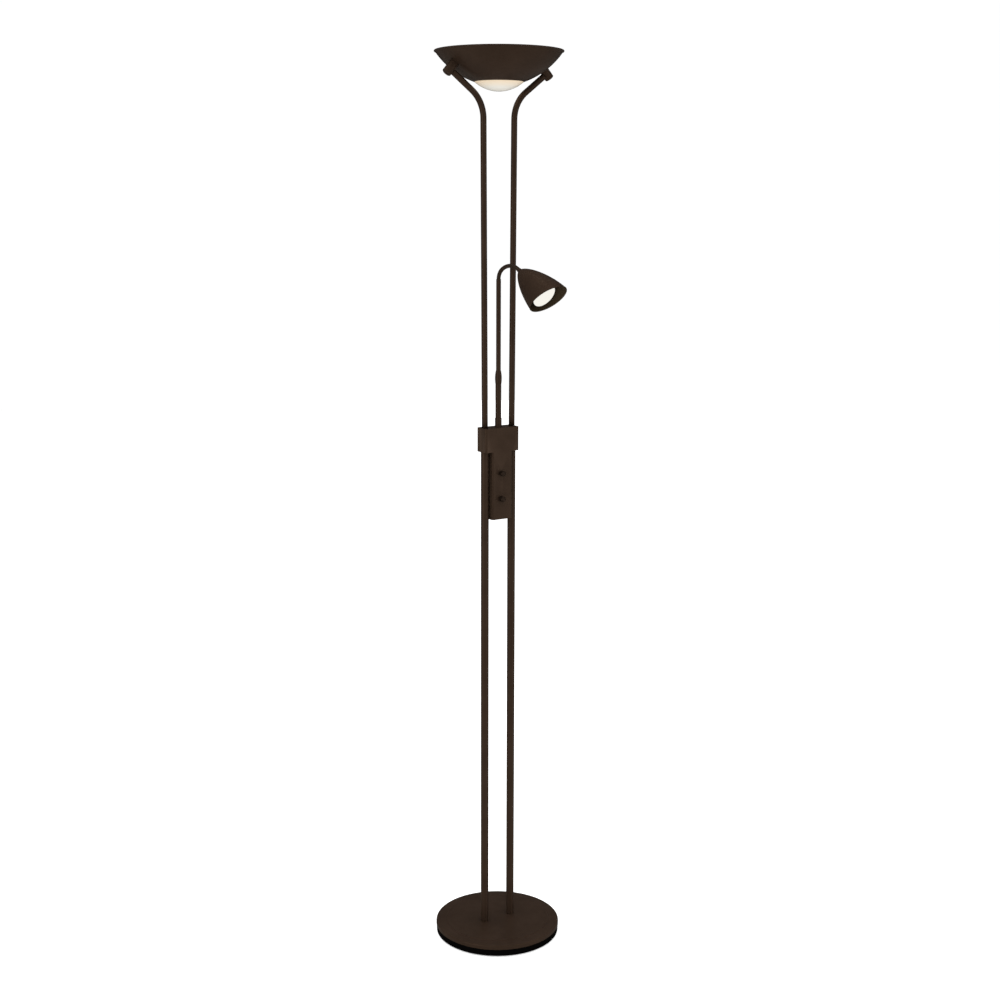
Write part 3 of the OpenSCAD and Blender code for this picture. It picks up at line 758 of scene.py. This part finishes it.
def make_lower_poles():
    for side in SIDES:
        node = f"lower_pole_{side}"
        radius = radius_of(node, axis=0)
        low, high = heights_of(node)
        outline = sleeve(radius - TUBE_WALL, radius, low, high, 0.4, 0.4, bore_edge=0.2, steps=3)
        place = Matrix.Translation((box_of(node)[2].x, 0, 0))
        lathe(f"pole_lower_{side}", outline, "bronze_paint", "stand", [node], segments=64, place=place)


def pole_path(pole_x, sign):
    """Centre line of an upper pole and its arm, from inside the housing to inside the collar."""
    end = Vector((ARM_END_R * math.sin(COLLAR_ANGLE), BOWL_CENTRE - ARM_END_R * math.cos(COLLAR_ANGLE)))
    lean = math.tan(POLE_LEAN)
    along = Vector((math.cos(ARM_SLOPE), math.sin(ARM_SLOPE)))
    run = (end.x - pole_x - (end.y - HOUSING_TOP) * lean) / (along.x - along.y * lean)
    corner = end - along * run
    up = Vector((math.sin(POLE_LEAN), math.cos(POLE_LEAN)))
    turn = math.pi / 2 - ARM_SLOPE - POLE_LEAN
    tangent = ARM_BEND_R * math.tan(turn / 2)
    bend_start = corner - up * tangent
    bend_end = corner + along * tangent
    centre = bend_start + Vector((up.y, -up.x)) * ARM_BEND_R
    base = Vector((pole_x, HOUSING_TOP - ARM_SUNK))
    pole_steps, bend_steps, arm_steps = 24, 32, 6
    points = [base + (bend_start - base) * (i / pole_steps) for i in range(pole_steps)]
    for i in range(bend_steps + 1):
        spoke = bend_start - centre
        spoke.rotate(Matrix.Rotation(-turn * i / bend_steps, 2))
        points.append(centre + spoke)
    last = end - along * ARM_SHORT
    points += [bend_end + (last - bend_end) * (i / arm_steps) for i in range(1, arm_steps + 1)]
    return [Vector((sign * p.x, 0, p.y)) for p in points]


def make_upper_poles():
    radius = (radius_of("upper_pole_left") - BEND_SWELL) * MM
    for side, sign in SIDES.items():
        centres = pole_path(abs(box_of(f"lower_pole_{side}")[2].x), sign)
        verts, faces = tube_along(centres, radius, 64)
        piece(f"pole_upper_{side}", verts, faces, "bronze_paint", "stand", [f"upper_pole_{side}"])


def collar_frame(sign):
    """Its +Z runs along a collar's axis, away from the sphere's centre."""
    out = Vector((sign * math.sin(COLLAR_ANGLE), 0, -math.cos(COLLAR_ANGLE)))
    return frame_at((0, 0, BOWL_CENTRE), out, (0, 1, 0))


def make_collars():
    dimple_r, dimple_floor_r = 2.6, 2.2
    dimple_floor = COLLAR_END - 1.2
    outline = rounded([
        (0, COLLAR_START, 0), (COLLAR_R, COLLAR_START, 0.2), (COLLAR_R, COLLAR_END, 0.9),
        (dimple_r, COLLAR_END, 0.5), (dimple_floor_r, dimple_floor, 0), (0, dimple_floor, 0)
    ], 5, closed=False)
    for side, sign in SIDES.items():
        place = collar_frame(sign)
        name = f"bowl_collar_{side}"
        lathe(name, outline, "bronze_paint", "stand", [f"collar_{side}"], segments=72, place=place)


def make_bowl():
    """A shell cut from a sphere, with a bead round its rim and a rounded edge at its hole."""
    outer, steps = BOWL_R / MM, 56
    inner = outer - BOWL_WALL
    rim_drop = RIM_DROP / MM
    bead_drop = rim_drop + BOWL_BEAD
    rim_r = math.sqrt(outer ** 2 - rim_drop ** 2)
    hole = math.degrees(math.asin(HOLE_R / outer))
    outer_top = math.degrees(math.acos(bead_drop / outer))
    inner_top = math.degrees(math.acos(bead_drop / inner))
    hole_edge = sphere_arc(outer - BOWL_WALL / 2, hole, hole, 1)[0]
    outline = sphere_arc(outer, hole, outer_top - 0.5, steps)
    outline += arc((rim_r - 1.1, -bead_drop), BOWL_BEAD, -40, 180, 14)
    outline += sphere_arc(inner, inner_top, hole, steps)
    outline += arc(hole_edge, BOWL_WALL / 2, 110, 250, 6)
    lathe("bowl_shell", outline, "bronze_paint", "stand", ["bowl"], segments=192, place=AT_BOWL_CENTRE,
          weighted=False)


def make_dish():
    """The frosted dish: a cap through the hole, and a flange that lies in the bowl round it."""
    flange_out = BOWL_R / MM - BOWL_WALL - DISH_PLAY
    flange_in = flange_out - DISH_GLASS
    centre = DISH_R - DISH_DROP
    neck = HOLE_R - 0.7
    cap_end = math.degrees(math.asin(neck / DISH_R))
    flange_start = math.degrees(math.asin((HOLE_R + 0.6) / flange_out))
    flange_end = math.degrees(math.asin((HOLE_R + DISH_FLANGE) / flange_out))
    inner_end = math.degrees(math.asin((neck - 3.6) / (DISH_R - DISH_GLASS)))
    outline = [(x, y + centre) for x, y in sphere_arc(DISH_R, 0, cap_end, 30)]
    outline += sphere_arc(flange_out, flange_start, flange_end, 6)
    outline += sphere_arc(flange_in, flange_end - 0.3, flange_start - 1.2, 6)
    outline += [(x, y + centre) for x, y in sphere_arc(DISH_R - DISH_GLASS, inner_end, 0, 24)]
    lathe("dish_frosted_glass", outline, "frosted_glass", "stand", ["glass_dish"], segments=160,
          place=AT_BOWL_CENTRE, weighted=False)


# ------ lamp inside the bowl

QUARTZ_R = 5
SEAL_R = 3.6  # the sealed ends of the quartz tube
SEAL_LEN = 12
SCREW_SEAT = 146.28  # from the sphere's centre to the bracket's inner face


def make_tube_lamp():
    """A quartz tube that narrows to its sealed ends, with a ceramic cap on each."""
    low, high, middle = box_of("tube_lamp")
    end = (low.x - high.x) / 2 / MM
    place = frame_at(middle, (1, 0, 0), UP)
    shoulder, bevel = 3, 0.4
    outline = [(0, end), (SEAL_R - bevel, end), (SEAL_R, end + bevel), (SEAL_R, end + SEAL_LEN)]
    for angle in range(15, 91, 15):
        narrow = (QUARTZ_R - SEAL_R) * math.cos(math.radians(angle)) ** 2
        outline.append((QUARTZ_R - narrow, end + SEAL_LEN + shoulder * angle / 90))
    outline += [(QUARTZ_R, end + 30), (QUARTZ_R, 0)]
    outline += [(r, -z) for r, z in reversed(outline)]
    lathe("lamp_quartz_tube", outline, "quartz_glass", "stand", ["tube_lamp"], segments=40, place=place)
    cap = sleeve(SEAL_R + 0.05, SEAL_R + 1.2, end + 4.4, end + SEAL_LEN + 1, 0.5, 0.5, steps=3)
    caps = [revolve(cap, 32, place), revolve(cap, 32, place @ FACE_DOWN)]
    piece("lamp_ceramic_caps", *join(caps), "ceramic", "stand")


def make_bowl_screws():
    """The screws that hold the bowl to the collars, and those of the lampholders."""
    seat = Matrix.Translation((0, 0, SCREW_SEAT * MM)) @ FACE_DOWN
    places = [collar_frame(sign) @ seat for sign in SIDES.values()]
    screw_heads("bowl_screw_heads", "bowl_screws", places, radius=4, height=2.4, segments=40)
    low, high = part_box("holder_screws")
    radius, height = 2.9, 1.6
    heads_x = (low.x + radius * MM, high.x - radius * MM)
    places = [Matrix.Translation((x, 0, low.z + height * MM)) @ FACE_DOWN for x in heads_x]
    screw_heads("holder_screw_heads", "holder_screws", places, radius, height, segments=32)


# ------ control housing


def make_knobs():
    """Two round knobs, each with a short slot above its middle."""
    slot_size = (0.8 * MM, 1.0 * MM, 4.4 * MM)
    slot_rise = 3.2 * MM
    for name in ("knob_upper", "knob_lower"):
        low, high, middle = box_of(name)
        radius, length = radius_of(name, axis=0), (high.y - low.y) / MM
        outline = rounded([
            (0, length, 0), (radius * 0.62, length, 0.4), (radius - 0.7, length - 0.15, 0.6),
            (radius, length - 1.0, 0.5), (radius, 0.7, 0.5), (radius - 0.5, 0, 0.2), (0, 0, 0)
        ], closed=False)
        place = frame_at((middle.x, high.y, middle.z), (0, -1, 0), (1, 0, 0))
        knob = lathe(f"dimmer_{name}", outline, "bronze_knob", name, [name], segments=64, place=place)
        cut(knob, (middle.x, low.y, middle.z + slot_rise), slot_size)


def cut(thing, centre, size):
    """Cuts a box out of a piece."""
    signs = (-1, 1)
    corners = [
        Vector(centre) + Vector((sx * size[0], sy * size[1], sz * size[2])) / 2
        for sx in signs for sy in signs for sz in signs
    ]
    faces = [(0, 1, 3, 2), (4, 6, 7, 5), (0, 4, 5, 1), (2, 3, 7, 6), (0, 2, 6, 4), (1, 5, 7, 3)]
    cutter = add_mesh("cutter", corners, faces)
    body = thing.parent
    thing.parent = None
    boolean = thing.modifiers.new("cut", "BOOLEAN")
    boolean.object = cutter
    boolean.solver = "EXACT"
    bpy.context.view_layer.objects.active = thing
    bpy.ops.object.modifier_move_to_index(modifier="cut", index=0)
    bpy.ops.object.modifier_apply(modifier="cut")
    thing.parent = body
    bpy.data.objects.remove(cutter)


def make_cover_screws():
    low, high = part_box("cover_screws")
    radius, height = 2.9, 1.8
    upper = (18 * MM, high.z - radius * MM)
    lower = (16.5 * MM, low.z + radius * MM)
    places = [
        frame_at((sign * x, high.y - height * MM, z), (0, 1, 0), (1, 0, 0))
        for x, z in (upper, lower) for sign in (-1, 1)
    ]
    screw_heads("cover_screw_heads", "cover_screws", places, radius, height, segments=36)


# ------ reading arm

POST_BORE_R = 3.9
POST_PEG_R = 4.8  # the post's thinner top, inside the coupling
FERRULE_BORE_R = 5.85
FERRULE_LEN = 14  # of the one that ends the arm
FERRULE_COLLAR = 3  # how much of it shows
SWIVEL_BORE_R = 4.95
SWIVEL_BARREL_R = 75  # radius of the coupling's bulging side
SWIVEL_CROWN = 11  # height of its widest place above its lower end


def make_arm_post():
    bottom, top = heights_of("arm_ferrule")
    outline = sleeve(FERRULE_BORE_R, radius_of("arm_ferrule"), bottom, top, 0.2, 0.6)
    lathe("post_ferrule", outline, "bronze_paint", "stand", ["arm_ferrule"], segments=64)

    bottom, top = HOUSING_TOP / MM, heights_of("arm_post")[1]
    shoulder = heights_of("swivel_coupling")[0]
    radius = radius_of("arm_post")
    outline = rounded([
        (POST_BORE_R, bottom, 0.1), (radius, bottom, 0.1), (radius, shoulder, 0.3),
        (POST_PEG_R, shoulder, 0.1), (POST_PEG_R, top, 0.2), (POST_BORE_R, top, 0.1)
    ])
    lathe("post_tube", outline, "bronze_paint", "stand", ["arm_post"], segments=64)


def make_swivel():
    """The coupling: a sleeve with a bulging side, and a small bevel at each end."""
    bottom, top = heights_of("swivel_coupling")
    widest = radius_of("swivel_coupling")
    crown = bottom + SWIVEL_CROWN
    steps, bevel = 24, 0.35
    side = []
    for i in range(steps + 1):
        z = top - (top - bottom) * i / steps
        bulge = SWIVEL_BARREL_R - math.sqrt(SWIVEL_BARREL_R ** 2 - (z - crown) ** 2)
        side.append((widest - bulge, z))
    upper_r, lower_r = side[0][0], side[-1][0]
    outline = [(SWIVEL_BORE_R, bottom), (SWIVEL_BORE_R, top), (upper_r - bevel, top), (upper_r, top - bevel)]
    outline += side[1:-1]
    outline += [(lower_r, bottom + bevel), (lower_r - bevel, bottom)]
    lathe("arm_swivel_barrel", outline, "bronze_paint", "stand", ["swivel_coupling"], segments=64)


def make_arm_tube():
    """The tube that turns, and the ferrule that plugs its upper end."""
    radius = radius_of("hose_ferrule")
    bottom, top = heights_of("arm_tube")
    outline = sleeve(radius - TUBE_WALL, radius, bottom, top, 0.1, 0.3, steps=3)
    lathe("arm_turning_tube", outline, "bronze_paint", "reading_arm", ["arm_tube"], segments=64)
    top = heights_of("hose_ferrule")[1]
    collar, plug = top - FERRULE_COLLAR, top - FERRULE_LEN
    plug_r = radius - TUBE_WALL - 0.1
    outline = rounded([
        (0, plug, 0), (plug_r, plug, 0.2), (plug_r, collar, 0), (radius, collar, 0.3), (radius, top, 0.4),
        (0, top, 0)
    ], closed=False)
    lathe("arm_end_ferrule", outline, "bronze_paint", "reading_arm", ["hose_ferrule"], segments=64)


# ------ flexible hose

HOSE_R = 4 * MM
HOSE_LOW_R = 24 * MM  # bend radius of the lower stretch, next to the arm
HOSE_HIGH_R = 39 * MM  # bend radius of the upper stretch
HOSE_LOW_TURN = math.radians(55)
HOSE_TURN = math.radians(124.5)  # from upright to the spot's aim
HOSE_PITCH = 1.0 * MM
HOSE_RIB = 0.16 * MM
HOSE_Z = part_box("hose_ferrule")[1].z
BEND_AXIS = next(Vector(j["axis"]).normalized() for j in frame["joints"] if j["name"] == "hose_bend_1")
HEADING = BEND_AXIS.cross(UP)
LOW_LENGTH = HOSE_LOW_R * HOSE_LOW_TURN
HIGH_LENGTH = HOSE_HIGH_R * (HOSE_TURN - HOSE_LOW_TURN)
HOSE_LENGTH = LOW_LENGTH + HIGH_LENGTH


def hose_outward(length):
    """Direction away from the bends' centres, that length along the hose."""
    if length <= LOW_LENGTH:
        turn = length / HOSE_LOW_R
    else:
        turn = HOSE_LOW_TURN + (length - LOW_LENGTH) / HOSE_HIGH_R
    return UP * math.sin(turn) - HEADING * math.cos(turn)


def hose_point(length):
    """Centre of the hose, that length along its two bends."""
    low_centre = HEADING * HOSE_LOW_R + UP * HOSE_Z
    if length <= LOW_LENGTH:
        return low_centre + hose_outward(length) * HOSE_LOW_R
    high_centre = low_centre + hose_outward(LOW_LENGTH) * (HOSE_LOW_R - HOSE_HIGH_R)
    return high_centre + hose_outward(length) * HOSE_HIGH_R


def hose_skin(first, last):
    """A stretch of wound-strip hose between two lengths along it, ribbed by one continuous helix."""
    around, per_pitch, rib_power = 40, 8, 0.6
    rows = max(4, round((last - first) / HOSE_PITCH * per_pitch))
    verts, faces = [], []
    for i in range(rows + 1):
        length = first + (last - first) * i / rows
        centre, outward = hose_point(length), hose_outward(length)
        for k in range(around):
            a = 2 * math.pi * k / around
            turn = length / HOSE_PITCH - k / around
            rib = abs(math.sin(math.pi * turn)) ** rib_power
            radius = HOSE_R - HOSE_RIB * (1 - rib)
            verts.append(centre + (outward * math.cos(a) + BEND_AXIS * math.sin(a)) * radius)
    for i in range(rows):
        low, high = i * around, (i + 1) * around
        for k in range(around):
            n = (k + 1) % around
            faces.append([low + k, high + k, high + n, low + n])
    faces.append(list(range(around)))
    faces.append([rows * around + k for k in reversed(range(around))])
    return verts, faces


def make_hose():
    """Each bending stretch runs from the middle of one link to the middle of the next."""
    middles = [LOW_LENGTH / 2, LOW_LENGTH + HIGH_LENGTH / 4, LOW_LENGTH + HIGH_LENGTH * 3 / 4]
    bodies = ["reading_arm", "hose_middle", "spot_head"]
    links = ["hose_link_middle", "hose_link_upper"]
    first = hose_skin(0, middles[0])
    piece("hose_start", *first, "hose_steel", bodies[0], ["hose_link_lower"], weighted=False)
    for i, link in enumerate(links):
        start, end = middles[i], middles[i + 1]
        part = piece(f"hose_bend_{i + 1}", *hose_skin(start, end), "hose_steel", None, [link], weighted=False)
        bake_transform(part)
    last = hose_skin(middles[-1], HOSE_LENGTH)
    piece("hose_end", *last, "hose_steel", bodies[-1], weighted=False)


# ------ spot

SHADE_LEN = 104
SOCKET_LEN = 2
MOUTH_R = 40
MOUTH_SLANT = 23  # how much further the upper edge of the mouth reaches than the lower one
MOUTH_BEAD = 0.95
SHADE_WALL = 1.2
SHADE_START = 0.04  # share of the shade's length at which its wall starts
SHADE_CROWN = 1.55  # the two powers that shape the bell
SHADE_SWELL = 0.635
SHADE_HOLE_R = 3.7
LAMP_R = 25
LAMP_FACE = 84
LAMP_BASE = 30.36
SHADE_FLOOR = SOCKET_LEN + SHADE_START * SHADE_LEN
NECK = hose_point(HOSE_LENGTH)
SPOT_AIM = HEADING * math.sin(HOSE_TURN) + UP * math.cos(HOSE_TURN)
SPOT_FRAME = frame_at(NECK, SPOT_AIM, UP * math.sin(HOSE_TURN) - HEADING * math.cos(HOSE_TURN))


def shade_radius(u):
    """Outer radius at a share u of the shade's length."""
    return MOUTH_R * (1 - (1 - min(u, 1.0)) ** SHADE_CROWN) ** SHADE_SWELL


def mouth_height(radius, turn):
    """Height of the slanted mouth's plane above the neck, where the shade has that radius."""
    return SOCKET_LEN + SHADE_LEN - (MOUTH_R - radius * math.cos(turn)) * MOUTH_SLANT / (2 * MOUTH_R)


def shade_end(turn):
    """Share of the shade's length at which its wall meets the mouth's plane, on one side."""
    low, high = 0.5, 1.0
    for _ in range(40):
        u = (low + high) / 2
        if SOCKET_LEN + u * SHADE_LEN < mouth_height(shade_radius(u), turn):
            low = u
        else:
            high = u
    return low


def shade_section(turn):
    """The wall's closed outline on one side: out along the neck, down the outside, round the bead at the
    mouth and back up the inside."""
    steps, crowding = 44, 1.6
    end = shade_end(turn)
    shares = [SHADE_START + (end - SHADE_START) * (i / steps) ** crowding for i in range(steps + 1)]
    outer = [(shade_radius(u), SOCKET_LEN + u * SHADE_LEN) for u in shares]
    inner = [(r - SHADE_WALL, z + SHADE_WALL * (1 - i / steps)) for i, (r, z) in enumerate(outer)]
    tip = Vector(outer[-1])
    slope = (tip - Vector(outer[-2])).normalized()
    bead_centre = tip - Vector((MOUTH_BEAD * 0.6, 0)) - slope * 0.2
    heading = math.degrees(math.atan2(slope.y, slope.x))
    bead = arc(bead_centre, MOUTH_BEAD, heading - 80, heading + 110, 9)
    floor, ceiling = outer[0][1], outer[0][1] + SHADE_WALL
    neck = [(SHADE_HOLE_R, floor), (outer[0][0] - 0.8, floor)]
    back = [(inner[0][0] - 0.6, ceiling), (SHADE_HOLE_R, ceiling)]
    return neck + outer[:-1] + bead + inner[-2::-1] + back


def make_shade():
    around = 128
    verts, faces = [], []
    for k in range(around):
        turn = 2 * math.pi * k / around
        for radius, height in shade_section(turn):
            point = Vector((radius * math.cos(turn), radius * math.sin(turn), height)) * MM
            verts.append(SPOT_FRAME @ point)
    count = len(verts) // around
    for k in range(around):
        here, there = k * count, (k + 1) % around * count
        for i in range(count):
            j = (i + 1) % count
            faces.append([here + i, there + i, there + j, here + j])
    piece("spot_bell_shade", verts, faces, "bronze_paint", "spot_head", ["spot_shade"], "shade",
          weighted=False)


def make_spot_socket():
    neck_r, stem_r, start, end = 4.4, 3.5, 0.1, SHADE_FLOOR + 7
    outline = rounded([
        (0, start, 0), (neck_r, start, 0.3), (neck_r + 0.2, SHADE_FLOOR - 0.6, 0.6),
        (neck_r + 0.1, SHADE_FLOOR, 0.2), (stem_r, SHADE_FLOOR, 0), (stem_r, end, 0.3), (0, end, 0)
    ], closed=False)
    lathe("spot_socket", outline, "bronze_paint", "spot_head", ["shade_socket"], 48, SPOT_FRAME)


def make_spot_lamp():
    """A reflector lamp: a mirrored bulb on two thick pins, and a lit lens in a raised ring."""
    bulb_r, bulb_end = LAMP_R - 0.6, LAMP_FACE - 2.2
    bulb = rounded([
        (0, LAMP_BASE - 1, 0), (9, LAMP_BASE - 1, 1), (12, LAMP_BASE + 2, 2),
        (LAMP_R - 5, LAMP_FACE - 18, 18), (bulb_r, LAMP_FACE - 3.5, 2),
        (bulb_r, bulb_end, 0), (0, bulb_end, 0)
    ], 8, closed=False)
    foot_r, stem_r, pin_x = 2.4, 1.6, 5
    pin = rounded([
        (0, LAMP_BASE - 7, 0), (foot_r, LAMP_BASE - 7, 0.6), (foot_r, LAMP_BASE - 4.5, 0.3),
        (stem_r, LAMP_BASE - 4, 0.2), (stem_r, LAMP_BASE, 0), (0, LAMP_BASE, 0)
    ], 3, closed=False)
    pins = [revolve(pin, 24, SPOT_FRAME @ Matrix.Translation((x * MM, 0, 0))) for x in (-pin_x, pin_x)]
    body = join([revolve(bulb, 72, SPOT_FRAME)] + pins)
    piece("spot_lamp_body", *body, "lamp_glass", "spot_head", material="lamp_body")

    ring, dome_r, dome, steps = 1.3, LAMP_R - 4, 0.5, 12
    lens = [(0, LAMP_FACE - 2.4), (LAMP_R - 2, LAMP_FACE - 2.4)]
    lens += arc((LAMP_R - ring, LAMP_FACE - ring), ring, -90, 90, 8)
    lens += [(LAMP_R - 2 * ring, LAMP_FACE - 0.35), (LAMP_R - 3.2, LAMP_FACE - 0.6)]
    for i in range(steps, -1, -1):
        lens.append((dome_r * i / steps, LAMP_FACE - 0.6 + dome * (1 - (i / steps) ** 2)))
    lathe("spot_lamp_lens", lens, "lamp_glass", "spot_head", ["spot_lamp"], segments=72, place=SPOT_FRAME)


# ------ CAD nodes that show as they are

WELD_GAP = 20 * MICRON
SHARP = math.radians(40)  # an edge that turns by more is rounded
BEVELS = {  # millimetres
    "control_front_cover": 0.6, "control_rear_cover": 0.6, "lamp_bracket": 0.35, "lampholder_left": 0.9,
    "lampholder_right": 0.9, "glass_clips": 0.25, "terminal_block": 0.5,
}


def finish_cad_nodes():
    """Gives every CAD node its slot's material, and a few of them rounded edges."""
    slots = {s["node"]: s["material_slot"] for s in frame["record"]["subparts"]}
    for name, node in frame["nodes"].items():
        node.data.materials.clear()
        node.data.materials.append(MATERIALS[slots[name]])
        if name not in BEVELS:
            continue
        node.modifiers.new("weld", "WELD").merge_threshold = WELD_GAP
        bevel = node.modifiers.new("edges", "BEVEL")
        bevel.width = BEVELS[name] * MM
        bevel.segments = 3
        bevel.limit_method = "ANGLE"
        bevel.angle_limit = SHARP
        bevel.harden_normals = True


# ------ all of it

MATERIALS = make_materials()
make_camera()
make_world()
make_lights()
make_floor()
make_foot_cover()
make_foot_tray()
make_felt_pads()
make_lead_bushing()
make_lower_poles()
make_upper_poles()
make_collars()
make_bowl()
make_dish()
make_tube_lamp()
make_bowl_screws()
make_knobs()
make_cover_screws()
make_arm_post()
make_swivel()
make_arm_tube()
make_hose()
make_shade()
make_spot_socket()
make_spot_lamp()
finish_cad_nodes()
